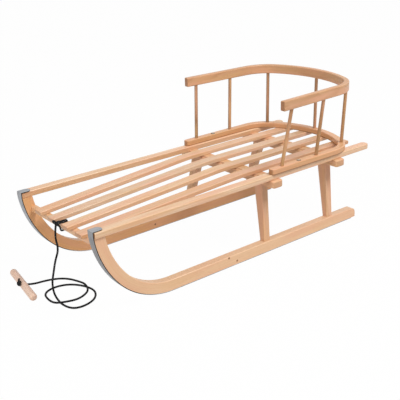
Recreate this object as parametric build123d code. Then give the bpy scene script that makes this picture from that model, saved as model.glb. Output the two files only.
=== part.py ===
"""Wooden sled with a spindle backrest, steel-shod runners and a tow cord.

Millimetres. +X points forward to the runner tips, +Y to the sled's left, +Z up.
The origin lies on the floor under the middle of the sled (the cord is not counted).
"""
from build123d import *
from math import sin, cos, tan, radians, sqrt, acos, pi
import os

os.makedirs("parts", exist_ok=True)

# Driving dimensions of the whole sled
LENGTH = 926.0            # runner irons' front to the tails of the outer rails
TRACK = 358.0             # over the outer faces of the two runners
SEAT_Z = 215.5            # top of the seat slats behind the front crossbar
BACK_Z = 408.5            # top of the backrest

X_FRONT = LENGTH / 2
X_REAR = -LENGTH / 2

# Clearances that every joint shares
FIT = 0.2                 # side play of tenons, housings and lap joints
ROUND_GAP = 0.3           # radial play between round pieces and their holes
PAST = 50.0               # how far a cutting block runs past what it cuts

# Runners: a flat sole, then two tangent bends up to the tip
RUNNER_W = 23.0
RUNNER_H = 28.0
SHOE_T = 2.0
SHOE_W = 22.0
BEND_1_R = 200.0          # radius of the lower bend, at the iron's outer face
BEND_1_DEG = 50.0
BEND_2_DEG = 32.4
TAIL_BACK = 45.0          # the runner's tail stops this far short of the rail's tail
TAIL_R = 16.0
TAB_LEN = 27.0            # the iron's tab on the top of the rail
TAB_END_R = 10.0
RUNNER_EDGE = 1.4         # eased upper edges

# Outer rails and inner slats
RAIL_W = 25.0
RAIL_OVER = 4.5           # the rails stand this far out past the runners
RAIL_T = 14.5
RAIL_END_R = 11.0
RAIL_EDGE = 2.0
SLAT_W = 29.5
SLAT_T = 11.0
SLAT_FRONT_BACK = 9.0     # the slat fronts stop this far behind the irons
SLAT_TAIL_BACK = 18.0
SLAT_DROP = 30.0          # the slat fronts lie this much lower than the seat
SLAT_BEND_R = 700.0
SLAT_PLAN_R = 1200.0      # the slats also turn in a little there
SLAT_END_R = 4.0
SLAT_EDGE = 2.0
SLAT_BEND_AHEAD = 53.0    # the bend lies this far ahead of the front crossbar
# name, middle line at the rear, middle line at the front
SLATS = [("slat_1", -107.5, -95.0), ("slat_2", -35.5, -32.5), ("slat_3", 35.5, 32.5), ("slat_4", 107.5, 95.0)]

# Crossbars behind the legs
BAR_OVER = 16.5           # the bar ends stand this far out past the runners
BAR_W = 34.0
BAR_T = 20.0
BAR_END_R = 8.0
BAR_EDGE = 4.0
BAR_FRONT = 391.5         # front faces of the bars, from the rail's tail
BAR_REAR = 151.0
BARS = [("crossbar_front", X_REAR + BAR_FRONT), ("crossbar_rear", X_REAR + BAR_REAR)]

# Legs
LEG_T = 20.5
LEG_FOOT_W = 16.7
LEG_TOP_W = 30.8
LEG_OUT = 5.5             # the foot's outer face stands this far inside the runner's
LEG_SPLAY_DEG = 9.65      # the legs lean inwards to their tops
LEG_RAKE_DEG = 6.05       # and backwards
LEG_FRONT = 405.5         # front faces of the feet, from the rail's tail
LEG_REAR = 160.8
LEG_EDGE = 1.5
LEGS = [("leg_front", X_REAR + LEG_FRONT), ("leg_rear", X_REAR + LEG_REAR)]
TENON_X = 11.0
TENON_Y = 9.0
TENON_Z = 15.0            # down into the runner
TENON_UP = 12.0           # up into the crossbar

# Nose bar between the runner tips
NOSE_BACK = 23.5          # its front face lies this far behind the irons
NOSE_W = 14.0
NOSE_T = 15.0
NOSE_EDGE = 2.0
NOSE_TENON = 11.0
NOSE_TENON_W = 9.0
NOSE_TENON_T = 9.0

# Backrest: two U bends joined by spindles
BASE_OVER = 8.5           # the base bend stands this far out past the runners
BASE_W = 21.0
BASE_T = 15.0
BASE_FRONT = 387.0        # the arms' front ends, measured from the rail's tail
BASE_REAR = 20.5
BASE_CORNER_R = 92.0
BASE_BACK_R = 255.0
BASE_END_R = 8.5
BASE_EDGE = 2.5
TOP_OVER = 12.6           # at the corners, from where the arms splay outwards
TOP_SPLAY_DEG = 2.8
TOP_W = 15.5
TOP_H = 26.0
TOP_FRONT = 366.5
TOP_REAR = 19.7
TOP_CORNER_R = 104.0
TOP_BACK_R = 296.0
TOP_EDGE = 3.0
SPINDLE_D = 9.5
SPINDLE_SINK = 9.0
# place, foot behind the base arm's end, head behind the top arm's end
SPINDLE_X = [("front", 42.0, 39.5), ("middle", 171.5, 165.0)]
CORNER_FOOT_DEG = 48.0    # where on the corner bends the rear corner spindles stand
CORNER_HEAD_DEG = 46.0

# Tow cord and handle
CORD_D = 4.4
HANDLE_D = 18.75
HANDLE_L = 168.0
KNOT_D = 12.0
STOP_D = 10.0
HANDLE_AHEAD = 56.6       # the handle's middle, ahead of the irons and to the right
HANDLE_RIGHT = 87.0
HANDLE_TURN_DEG = 9.65    # turned this much forward from straight across
HANDLE_END_R = 6.5
HOLE_TILT_DEG = 25.0      # the handle lies so that its hole rises forwards

Y_OUT = TRACK / 2
BAR_L = TRACK + 2 * BAR_OVER
BASE_OUT = TRACK + 2 * BASE_OVER
TOP_OUT = TRACK + 2 * TOP_OVER
Y_IN = Y_OUT - RUNNER_W
Y_MID = Y_OUT - RUNNER_W / 2
RAIL_Y1 = Y_OUT + RAIL_OVER
RAIL_Y0 = RAIL_Y1 - RAIL_W
RAIL_Z = SEAT_Z - RAIL_T
SLAT_Z = SEAT_Z - SLAT_T
RUNNER_TOP = SHOE_T + RUNNER_H
SLAT_X1 = X_FRONT - SLAT_FRONT_BACK
SLAT_X0 = X_REAR + SLAT_TAIL_BACK
BEND_AT = BARS[0][1] + SLAT_BEND_AHEAD
SLAT_SLOPE = SLAT_DROP / (SLAT_X1 - BEND_AT)
NOSE_X1 = X_FRONT - NOSE_BACK
NOSE_X0 = NOSE_X1 - NOSE_W
NOSE_Z1 = SLAT_Z - SLAT_SLOPE * (NOSE_X1 - BEND_AT)
NOSE_Z0 = NOSE_Z1 - NOSE_T
nose_x = (NOSE_X0 + NOSE_X1) / 2
nose_z = (NOSE_Z0 + NOSE_Z1) / 2
BAR_Z0 = RAIL_Z - BAR_T
LEG_H = BAR_Z0 - RUNNER_TOP
LEG_BACK = LEG_H * tan(radians(LEG_RAKE_DEG))
FOOT_Y = Y_OUT - LEG_OUT - LEG_FOOT_W / 2
TOP_Y = Y_OUT - LEG_OUT - LEG_H * tan(radians(LEG_SPLAY_DEG)) - LEG_TOP_W / 2


def save(solid, name):
    solid.label = name
    export_step(solid, "parts/" + name + ".step")
    print(name, round(solid.volume, 1))


def box(x0, x1, y0, y1, z0, z1):
    return Pos((x0 + x1) / 2, (y0 + y1) / 2, (z0 + z1) / 2) * Box(x1 - x0, y1 - y0, z1 - z0)


def side_prism(wire, y0, y1):
    """Extrudes a closed outline drawn in X, Z from y0 to y1."""
    face = make_face(wire)
    return extrude(face, amount=y1 - y0, dir=(0, 1, 0)).moved(Location((0, y0, 0)))


def flip(solid):
    return mirror(solid, about=Plane.XZ)


# The runner's side view: offsets of one line of arcs, from the iron's outer face inwards
def bend_point(offset, deg_1, deg_2):
    x = BEND_X + (BEND_1_R - offset) * sin(radians(deg_1))
    z = BEND_1_R - (BEND_1_R - offset) * cos(radians(deg_1))
    if deg_2:
        first = radians(BEND_1_DEG)
        both = radians(BEND_1_DEG + deg_2)
        r = BEND_2_R - offset
        x = x + r * (sin(both) - sin(first))
        z = z + r * (cos(first) - cos(both))
    return (x, 0, z)


BEND_1_RISE = BEND_1_R * (1 - cos(radians(BEND_1_DEG)))
BEND_2_COS = cos(radians(BEND_1_DEG)) - cos(radians(BEND_1_DEG + BEND_2_DEG))
BEND_2_SIN = sin(radians(BEND_1_DEG + BEND_2_DEG)) - sin(radians(BEND_1_DEG))
BEND_2_R = (RAIL_Z - BEND_1_RISE) / BEND_2_COS
TIP_RUN = BEND_1_R * sin(radians(BEND_1_DEG)) + BEND_2_R * BEND_2_SIN
BEND_X = X_FRONT - TIP_RUN
TAIL_X = X_REAR + TAIL_BACK


def bent_band(outer, inner, tail_x):
    """Closed side outline between two offsets of the bend, cut level at the rail."""
    half_1 = BEND_1_DEG / 2
    half_2 = BEND_2_DEG / 2
    out_0 = bend_point(outer, 0, 0)
    out_1 = bend_point(outer, BEND_1_DEG, 0)
    out_2 = bend_point(outer, BEND_1_DEG, BEND_2_DEG)
    in_0 = bend_point(inner, 0, 0)
    in_1 = bend_point(inner, BEND_1_DEG, 0)
    in_2 = bend_point(inner, BEND_1_DEG, BEND_2_DEG)
    tail_low = (tail_x, 0, outer)
    tail_high = (tail_x, 0, inner)
    edges = [Line(tail_low, out_0)]
    edges.append(ThreePointArc(out_0, bend_point(outer, half_1, 0), out_1))
    edges.append(ThreePointArc(out_1, bend_point(outer, BEND_1_DEG, half_2), out_2))
    edges.append(Line(out_2, in_2))
    edges.append(ThreePointArc(in_2, bend_point(inner, BEND_1_DEG, half_2), in_1))
    edges.append(ThreePointArc(in_1, bend_point(inner, half_1, 0), in_0))
    edges.append(Line(in_0, tail_high))
    edges.append(Line(tail_high, tail_low))
    return edges


TIP_FACE_X = bend_point(SHOE_T, BEND_1_DEG, BEND_2_DEG)[0]


def eased(edge, marks):
    """True for the upper side edges of a runner: the level one, the tail's round and the inner arcs."""
    top, tail_r = marks
    if edge.geom_type == GeomType.LINE:
        return abs(edge.center().Z - top) < FIT
    inner = (tail_r, BEND_1_R - top, BEND_2_R - top)
    return min(abs(edge.radius - r) for r in inner) < FIT


# Runners of bent wood, mortised for the legs and the nose bar
wood = side_prism(bent_band(SHOE_T, RUNNER_TOP, TAIL_X), Y_IN, Y_OUT)
tail_edges = wood.edges().filter_by(Axis.Y).group_by(Axis.X)[0]
wood = fillet(tail_edges.sort_by(Axis.Z)[-1], TAIL_R)
sides = wood.faces().filter_by(Axis.Y)
upper = [e for e in sides.edges() if eased(e, (RUNNER_TOP, TAIL_R))]
wood = chamfer(upper, RUNNER_EDGE)
wood = wood - box(X_REAR, X_FRONT + PAST, -PAST, Y_OUT + PAST, RAIL_Z, BACK_Z)
for name, leg_x in LEGS:
    mid_x = leg_x - LEG_T / 2
    slot = box(mid_x - TENON_X / 2 - FIT, mid_x + TENON_X / 2 + FIT, FOOT_Y - TENON_Y / 2 - FIT,
               FOOT_Y + TENON_Y / 2 + FIT, RUNNER_TOP - TENON_Z, RUNNER_TOP + TENON_Z)
    wood = wood - slot
wood = wood - box(nose_x - NOSE_TENON_W / 2 - FIT, nose_x + NOSE_TENON_W / 2 + FIT, Y_IN - NOSE_TENON,
                  Y_IN + NOSE_TENON,
                  nose_z - NOSE_TENON_T / 2 - FIT, nose_z + NOSE_TENON_T / 2 + FIT)
save(wood, "runner_left")
save(flip(wood), "runner_right")

# Runner irons: a strip along the sole and up the front, folded over the rail's front end
iron = side_prism(bent_band(0, SHOE_T, TAIL_X + TAIL_R), Y_MID - SHOE_W / 2, Y_MID + SHOE_W / 2)
iron = iron - box(X_REAR, X_FRONT + PAST, -PAST, Y_OUT + PAST, RAIL_Z, BACK_Z)
riser = box(TIP_FACE_X, TIP_FACE_X + SHOE_T, Y_MID - SHOE_W / 2, Y_MID + SHOE_W / 2, RAIL_Z, SEAT_Z + SHOE_T)
tab = box(TIP_FACE_X - TAB_LEN, TIP_FACE_X, Y_MID - SHOE_W / 2, Y_MID + SHOE_W / 2, SEAT_Z, SEAT_Z + SHOE_T)
tab_end = tab.edges().filter_by(Axis.Z).group_by(Axis.X)[0]
tab = fillet(tab_end, TAB_END_R)
iron = iron + riser + tab
save(iron, "runner_iron_left")
save(flip(iron), "runner_iron_right")

# Outer rails on the runner tips, the legs and the crossbars
rail = box(X_REAR, TIP_FACE_X, RAIL_Y0, RAIL_Y1, RAIL_Z, SEAT_Z)
rail_end = rail.edges().filter_by(Axis.Z).group_by(Axis.X)[0]
rail = fillet(rail_end, RAIL_END_R)
level = rail.faces().sort_by(Axis.Z)
rail = fillet(level[0].edges() + level[-1].edges(), RAIL_EDGE)
save(rail, "rail_left")
save(flip(rail), "rail_right")

# Inner slats: level over the crossbars, then dropping straight to the nose bar
for name, y_rear, y_front in SLATS:
    low = FilletPolyline((SLAT_X0, 0, SLAT_Z), (BEND_AT, 0, SLAT_Z), (SLAT_X1, 0, SLAT_Z - SLAT_DROP), radius=SLAT_BEND_R)
    high = FilletPolyline((SLAT_X0, 0, SEAT_Z), (BEND_AT, 0, SEAT_Z), (SLAT_X1, 0, SEAT_Z - SLAT_DROP), radius=SLAT_BEND_R)
    outline = low.edges() + high.edges()
    outline = outline + [Line((SLAT_X0, 0, SLAT_Z), (SLAT_X0, 0, SEAT_Z))]
    outline = outline + [Line((SLAT_X1, 0, SLAT_Z - SLAT_DROP), (SLAT_X1, 0, SEAT_Z - SLAT_DROP))]
    slab = side_prism(outline, min(y_rear, y_front) - SLAT_W, max(y_rear, y_front) + SLAT_W)
    right = FilletPolyline((SLAT_X0, y_rear - SLAT_W / 2), (BEND_AT, y_rear - SLAT_W / 2),
                           (SLAT_X1, y_front - SLAT_W / 2), radius=SLAT_PLAN_R)
    left = FilletPolyline((SLAT_X0, y_rear + SLAT_W / 2), (BEND_AT, y_rear + SLAT_W / 2),
                          (SLAT_X1, y_front + SLAT_W / 2), radius=SLAT_PLAN_R)
    plan = right.edges() + left.edges()
    plan = plan + [Line((SLAT_X0, y_rear - SLAT_W / 2), (SLAT_X0, y_rear + SLAT_W / 2))]
    plan = plan + [Line((SLAT_X1, y_front - SLAT_W / 2), (SLAT_X1, y_front + SLAT_W / 2))]
    slat = slab & extrude(make_face(plan), amount=BACK_Z)
    ends = slat.edges().filter_by(Axis.Y)
    ends = ends.group_by(Axis.X)[0] + ends.group_by(Axis.X)[-1]
    slat = fillet(ends, SLAT_END_R)
    flanks = [f for f in slat.faces() if abs(f.normal_at(f.center()).Y) > 0.9]
    rims = [e for f in flanks for e in f.edges() if abs((e % 0.5).Z) < 0.99]
    slat = fillet(rims, SLAT_EDGE)
    save(slat, name)

# Nose bar: its top slopes with the slats that rest on it, its tenons sit in the runners
nose_line = Polyline((NOSE_X0, 0, NOSE_Z0), (NOSE_X1, 0, NOSE_Z0), (NOSE_X1, 0, NOSE_Z1),
                     (NOSE_X0, 0, NOSE_Z1 + SLAT_SLOPE * NOSE_W), close=True)
nose = side_prism(nose_line.edges(), -Y_IN, Y_IN)
nose = fillet(nose.edges().filter_by(Axis.Y), NOSE_EDGE)
tenon_end = Y_IN + NOSE_TENON - FIT
nose = nose + box(nose_x - NOSE_TENON_W / 2, nose_x + NOSE_TENON_W / 2, -tenon_end, tenon_end,
                  nose_z - NOSE_TENON_T / 2, nose_z + NOSE_TENON_T / 2)
save(nose, "nose_bar")

# Crossbars under the slats and rails, mortised for the legs from below
for (name, bar_x), (leg, leg_x) in zip(BARS, LEGS):
    bar = box(bar_x - BAR_W, bar_x, -BAR_L / 2, BAR_L / 2, BAR_Z0, RAIL_Z)
    bar = fillet(bar.edges().filter_by(Axis.Z), BAR_END_R)
    bar = fillet(bar.faces().filter_by(Axis.Z).edges(), BAR_EDGE)
    seat = box(bar_x - BAR_W + BAR_EDGE, bar_x - BAR_EDGE, FIT - RAIL_Y0, RAIL_Y0 - FIT, RAIL_Z - BAR_EDGE, SLAT_Z)
    bar = bar + seat
    mid_x = leg_x - LEG_T / 2 - LEG_BACK
    slot = box(mid_x - TENON_X / 2 - FIT, mid_x + TENON_X / 2 + FIT, TOP_Y - TENON_Y / 2 - FIT,
               TOP_Y + TENON_Y / 2 + FIT, BAR_Z0 - TENON_UP, BAR_Z0 + TENON_UP)
    bar = bar - slot - flip(slot)
    save(bar, name)

# Legs: tapered boards, raked back and splayed, with a tenon in the runner and one in the crossbar
for name, leg_x in LEGS:
    low_x = leg_x - LEG_T / 2
    top_x = low_x - LEG_BACK
    foot = Pos(low_x, FOOT_Y, RUNNER_TOP) * Rectangle(LEG_T, LEG_FOOT_W)
    head = Pos(top_x, TOP_Y, BAR_Z0) * Rectangle(LEG_T, LEG_TOP_W)
    leg = loft([foot, head], ruled=True)
    uprights = [e for e in leg.edges() if abs((e % 0.5).Z) > 0.9]
    leg = fillet(uprights, LEG_EDGE)
    leg = leg + box(low_x - TENON_X / 2, low_x + TENON_X / 2, FOOT_Y - TENON_Y / 2, FOOT_Y + TENON_Y / 2,
                    RUNNER_TOP - TENON_Z, RUNNER_TOP + FIT)
    leg = leg + box(top_x - TENON_X / 2, top_x + TENON_X / 2, TOP_Y - TENON_Y / 2, TOP_Y + TENON_Y / 2,
                    BAR_Z0 - FIT, BAR_Z0 + TENON_UP)
    save(leg, name + "_left")
    save(flip(leg), name + "_right")


def u_bend(out, width, x_front, x_rear, corner_r, back_r, splay_deg):
    """Plan of a U bend: arms, corner arcs and a bowed back, all tangent; returns face and corner data."""
    splay = radians(splay_deg)
    y_k = out / 2 - corner_r
    x_c = x_rear + back_r
    x_k = x_c - sqrt((back_r - corner_r) ** 2 - y_k ** 2)
    # directions from the corner's centre: to the arm, to the middle of the bend, to the back
    to_back = acos((x_c - x_k) / (back_r - corner_r))
    to_arm = pi / 2 - splay
    half_way = (to_back + to_arm) / 2
    arm_len = (x_front - x_k) / cos(splay)
    rows = []
    for r in (corner_r, corner_r - width):
        arm = (x_k - r * sin(splay), y_k + r * cos(splay))
        tip = (arm[0] + arm_len * cos(splay), arm[1] + arm_len * sin(splay))
        mid = (x_k - r * cos(half_way), y_k + r * sin(half_way))
        join = (x_k - r * cos(to_back), y_k + r * sin(to_back))
        back = (x_rear + corner_r - r, 0)
        rows.append((tip, arm, mid, join, back))
    (tip_o, arm_o, mid_o, join_o, back_o), (tip_i, arm_i, mid_i, join_i, back_i) = rows

    def m(p):
        return (p[0], -p[1])

    edges = [Line(tip_o, arm_o), ThreePointArc(arm_o, mid_o, join_o), ThreePointArc(join_o, back_o, m(join_o))]
    edges.extend([ThreePointArc(m(join_o), m(mid_o), m(arm_o)), Line(m(arm_o), m(tip_o)), Line(m(tip_o), m(tip_i))])
    edges.extend([Line(m(tip_i), m(arm_i)), ThreePointArc(m(arm_i), m(mid_i), m(join_i))])
    edges.extend([ThreePointArc(m(join_i), back_i, join_i), ThreePointArc(join_i, mid_i, arm_i)])
    edges.extend([Line(arm_i, tip_i), Line(tip_i, tip_o)])
    return make_face(edges), (x_k, y_k, corner_r - width / 2, splay)


def on_arm(corner, x, side):
    """Point on the middle line of an arm."""
    x_k, y_k, r, splay = corner
    return x, side * (y_k + r / cos(splay) + (x - x_k) * tan(splay))


def on_corner(corner, deg, side):
    """Point on the middle line of a corner, so far round from straight across."""
    x_k, y_k, r, splay = corner
    return x_k - r * sin(radians(deg)), side * (y_k + r * cos(radians(deg)))


# Backrest: base bend on the seat, top bend on edge above it
BASE_Z1 = SEAT_Z + BASE_T
TOP_Z0 = BACK_Z - TOP_H
base_face, base_c = u_bend(BASE_OUT, BASE_W, X_REAR + BASE_FRONT, X_REAR + BASE_REAR, BASE_CORNER_R, BASE_BACK_R, 0)
top_face, top_c = u_bend(TOP_OUT, TOP_W, X_REAR + TOP_FRONT, X_REAR + TOP_REAR, TOP_CORNER_R, TOP_BACK_R,
                         TOP_SPLAY_DEG)
base = extrude(base_face, amount=BASE_T).moved(Location((0, 0, SEAT_Z)))
base = fillet(base.edges().filter_by(Axis.Z).group_by(Axis.X)[-1], BASE_END_R)
base = fillet(base.faces().sort_by(Axis.Z)[-1].edges(), BASE_EDGE)
top = extrude(top_face, amount=TOP_H).moved(Location((0, 0, TOP_Z0)))
top = fillet(top.edges().filter_by(Axis.Z).sort_by(Axis.X)[-4:], TOP_EDGE)
top = fillet(top.faces().filter_by(Axis.Z).edges(), TOP_EDGE)

# Spindles: foot and head on the centre lines of the two bends, in blind holes
spots = []
for side, s in (("left", 1), ("right", -1)):
    for where, x_foot, x_head in SPINDLE_X:
        spots.append(("spindle_" + where + "_" + side, on_arm(base_c, X_REAR + BASE_FRONT - x_foot, s),
                      on_arm(top_c, X_REAR + TOP_FRONT - x_head, s)))
    spots.append(("spindle_corner_" + side, on_corner(base_c, CORNER_FOOT_DEG, s), on_corner(top_c, CORNER_HEAD_DEG, s)))
spots.append(("spindle_back", (X_REAR + BASE_REAR + BASE_W / 2, 0), (X_REAR + TOP_REAR + TOP_W / 2, 0)))
for name, foot, head in spots:
    low = Vector(foot[0], foot[1], BASE_Z1)
    high = Vector(head[0], head[1], TOP_Z0)
    along = (high - low).normalized()
    start = low - along * SPINDLE_SINK
    length = (high - low).length + 2 * SPINDLE_SINK
    place = Plane(origin=start, z_dir=along)
    base = base - extrude(place * Circle(SPINDLE_D / 2 + ROUND_GAP), amount=length)
    top = top - extrude(place * Circle(SPINDLE_D / 2 + ROUND_GAP), amount=length)
    save(extrude(place * Circle(SPINDLE_D / 2), amount=length), name)
save(base, "backrest_base")
save(top, "backrest_top")

# Tow cord: tied round the nose bar, hanging to the floor, two loose loops, into its handle
TIE_SLACK = 0.6           # the tie stands this much off the bar's rounded corners
KNOT_RIGHT = 9.5
off = CORD_D / 2 + ROUND_GAP + TIE_SLACK
knot_y = -KNOT_RIGHT
tie_y = knot_y + KNOT_D / 2 + ROUND_GAP + CORD_D / 2
knot = (NOSE_X1 + KNOT_D / 2 + ROUND_GAP + TIE_SLACK, knot_y, nose_z + NOSE_T * 0.42)
high_front = NOSE_Z1 + off + FIT
high_rear = NOSE_Z1 + SLAT_SLOPE * NOSE_W + off + FIT
ring = FilletPolyline((NOSE_X1 + off, tie_y, NOSE_Z0 - off), (NOSE_X1 + off, tie_y, high_front),
                      (NOSE_X0 - off, tie_y, high_rear), (NOSE_X0 - off, tie_y, NOSE_Z0 - off),
                      radius=CORD_D * 0.9, close=True)
ring_at = Plane(origin=(NOSE_X1 + off, tie_y, nose_z), z_dir=(0, 0, 1))
tie = sweep(ring_at * Circle(CORD_D / 2), path=ring)
save(tie, "cord_tie")

HANDLE_AT = Vector(X_FRONT + HANDLE_AHEAD, -HANDLE_RIGHT, HANDLE_D / 2)
HANDLE_DIR = Vector(sin(radians(HANDLE_TURN_DEG)), cos(radians(HANDLE_TURN_DEG)), 0)
tilt = radians(HOLE_TILT_DEG)
HOLE_DIR = Vector(HANDLE_DIR.Y * cos(tilt), -HANDLE_DIR.X * cos(tilt), sin(tilt))
lie = CORD_D / 2 + FIT
half = lie + CORD_D
over = lie + 2.05 * CORD_D
cord_end = HANDLE_AT + HOLE_DIR * (HANDLE_D / 2 + ROUND_GAP)
cord_in = HANDLE_AT - HOLE_DIR * ((HANDLE_D / 2 - lie) / sin(tilt))
# columns: ahead of the irons, to the left, height
route = [
    (knot[0] + 1.5 - X_FRONT, knot[1] - 1.5, knot[2] - KNOT_D / 2 + 0.5),
    (-12.5, -26, 140), (-9, -6, 112), (-2, -16.5, 80), (5, -19, 48), (10, -22.3, 22), (16, -7.5, lie + 1),
    (25, 22.5, lie), (31.5, 60, lie), (23, 94, lie), (-5, 102, lie), (-42.5, 89.5, lie), (-66, 54, lie),
    (-59, 12, lie), (-34, -22.5, lie), (4, -33, lie), (36.5, -18.5, lie), (44, 16, lie), (44.5, 48, half),
    (29, 67, over), (-9, 62, lie), (-36, 53.5, lie), (-51, 45, half), (-57, 22, over), (-62.5, -12.5, lie),
    (-47.5, -54, lie), (-12.5, -77, lie), (cord_in.X - X_FRONT, cord_in.Y, cord_in.Z),
    (cord_end.X - X_FRONT, cord_end.Y, cord_end.Z),
]
pts = [Vector(X_FRONT + ahead, left, height) for ahead, left, height in route]
radii = []
for a, b, c in zip(pts, pts[1:], pts[2:]):
    turn = radians((b - a).get_angle(c - b))
    radii.append(0.45 * min((b - a).length, (c - b).length) / tan(turn / 2))
print("cord radii", [round(r, 1) for r in radii])
line = FilletPolyline(*pts, radius=radii)
first = (pts[1] - pts[0]).normalized()
cord = sweep(Plane(origin=pts[0], z_dir=first) * Circle(CORD_D / 2), path=line)
share = cord.volume / (line.length * pi * CORD_D ** 2 / 4)
print("cord length", round(line.length, 1), "volume share", round(share, 4))
save(cord, "tow_cord")

ball = Pos(*knot) * Sphere(KNOT_D / 2)
below = Plane(origin=pts[0], z_dir=first)
cut = extrude(below * Rectangle(PAST, PAST), amount=PAST)
save(ball - cut, "cord_knot")

grip_at = Plane(origin=HANDLE_AT - HANDLE_DIR * (HANDLE_L / 2), z_dir=HANDLE_DIR)
grip = extrude(grip_at * Circle(HANDLE_D / 2), amount=HANDLE_L)
grip = fillet(grip.edges().filter_by(GeomType.CIRCLE), HANDLE_END_R)
bore_at = Plane(origin=HANDLE_AT - HOLE_DIR * HANDLE_D, z_dir=HOLE_DIR)
grip = grip - extrude(bore_at * Circle(CORD_D / 2 + ROUND_GAP), amount=2 * HANDLE_D)
save(grip, "tow_handle")

stop_at = cord_end + HOLE_DIR * (STOP_D / 2 - 1.0)
stop = Pos(stop_at.X, stop_at.Y, stop_at.Z) * Sphere(STOP_D / 2)
stop = stop - extrude(Plane(origin=cord_end, z_dir=-HOLE_DIR) * Rectangle(PAST, PAST), amount=PAST)
save(stop, "handle_knot")
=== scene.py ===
import bpy
import math
import numpy as np
from mathutils import Matrix, Vector


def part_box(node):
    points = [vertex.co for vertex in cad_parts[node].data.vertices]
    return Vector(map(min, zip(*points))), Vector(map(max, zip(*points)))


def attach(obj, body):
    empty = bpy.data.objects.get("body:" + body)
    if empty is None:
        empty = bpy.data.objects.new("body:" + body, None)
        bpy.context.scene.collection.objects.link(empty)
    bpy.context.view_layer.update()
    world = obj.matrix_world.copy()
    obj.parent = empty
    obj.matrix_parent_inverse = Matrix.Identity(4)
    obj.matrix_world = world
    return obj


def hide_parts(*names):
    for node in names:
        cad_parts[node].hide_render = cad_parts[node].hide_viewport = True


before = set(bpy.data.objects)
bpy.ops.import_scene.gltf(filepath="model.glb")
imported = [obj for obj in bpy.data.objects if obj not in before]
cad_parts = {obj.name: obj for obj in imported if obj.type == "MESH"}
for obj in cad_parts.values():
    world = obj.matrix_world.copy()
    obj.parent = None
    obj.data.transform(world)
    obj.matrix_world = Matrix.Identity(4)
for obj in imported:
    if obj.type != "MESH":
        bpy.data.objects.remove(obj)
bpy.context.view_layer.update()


# Runners: two beech laths, each steam-bent in one piece from the tail to the tip, planed, eased
# along the upper edges and coated with clear satin lacquer. The grain follows the two bends.
RUNNER_Y, RUNNER_MIDDLE_Z, RUNNER_TAIL_X = 0.1675, 0.016, -0.39
TIP_X, TIP_Z = 0.463, 0.201
LOW_R = 0.200
LOW_TURN, TIP_TURN = math.radians(50.0), math.radians(32.4)
low_rise = LOW_R * (1 - math.cos(LOW_TURN))
TIP_R = (TIP_Z - low_rise) / (math.cos(LOW_TURN) - math.cos(LOW_TURN + TIP_TURN))
BEND_X = (TIP_X - LOW_R * math.sin(LOW_TURN)
          - TIP_R * (math.sin(LOW_TURN + TIP_TURN) - math.sin(LOW_TURN)))
# pin knots in the wood: their places, and how far the stain reaches
NEAR_MARKS = [(0.0724, 0.179, 0.0265), (0.0448, 0.179, 0.0108)]
FAR_MARKS = [(0.0618, -0.156, 0.0138)]
MARK_R, MARK_CORE_R = 0.0036, 0.0014
# the nodes that most materials here are made of
MATH, VECTOR, NOISE = "ShaderNodeMath", "ShaderNodeVectorMath", "ShaderNodeTexNoise"
JOIN, SPLIT = "ShaderNodeCombineXYZ", "ShaderNodeSeparateXYZ"
RANGE, MIX = "ShaderNodeMapRange", "ShaderNodeMix"
# beech: each pattern's length along the grain, width across it and noise detail. Vessels are
# 0.1 mm wide and rings 2 to 3 mm in real wood; both are drawn wider so that they show.
PATTERNS = [("figure", 0.24, 0.030, 2.0), ("fibre", 0.11, 0.0016, 3.0),
            ("fleck", 0.0052, 0.0009, 1.0), ("blush", 0.17, 0.017, 1.0)]
RING_W, RING_WANDER, LATE_WOOD = 0.006, 0.022, 0.88
# the side brown and the top grey are painted shade; the end brown is end grain and a painted
# contact shadow
FIBRE_BROWN, FLECK_BROWN, SIDE_SHADE_BROWN, END_GRAIN_AND_SHADE_BROWN = "#C89567", "#A4714A", "#BE8450", "#8C5C36"
ROSY, YELLOW, TOP_SHADE_GREY = "#DEA484", "#D4AA72", "#BCA48D"


def linear(hex_colour):
    """An sRGB hex value as linear red, green, blue and alpha."""
    parts = [int(hex_colour[i:i + 2], 16) / 255 for i in (1, 3, 5)]
    return [c / 12.92 if c <= 0.04045 else ((c + 0.055) / 1.055) ** 2.4 for c in parts] + [1.0]


def add(tree, kind, links=None, **settings):
    """Adds a node; links gives each input a socket to link from or a value to hold."""
    node = tree.nodes.new(kind)
    for key, value in settings.items():
        setattr(node, key, value)
    for socket, value in (links or {}).items():
        if isinstance(value, bpy.types.NodeSocket):
            tree.links.new(value, node.inputs[socket])
        else:
            node.inputs[socket].default_value = value
    return node


def bare_material(name):
    """A new material and its node tree, still empty."""
    material = bpy.data.materials.new(name)
    material.use_nodes = True
    material.node_tree.nodes.clear()
    return material, material.node_tree


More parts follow.
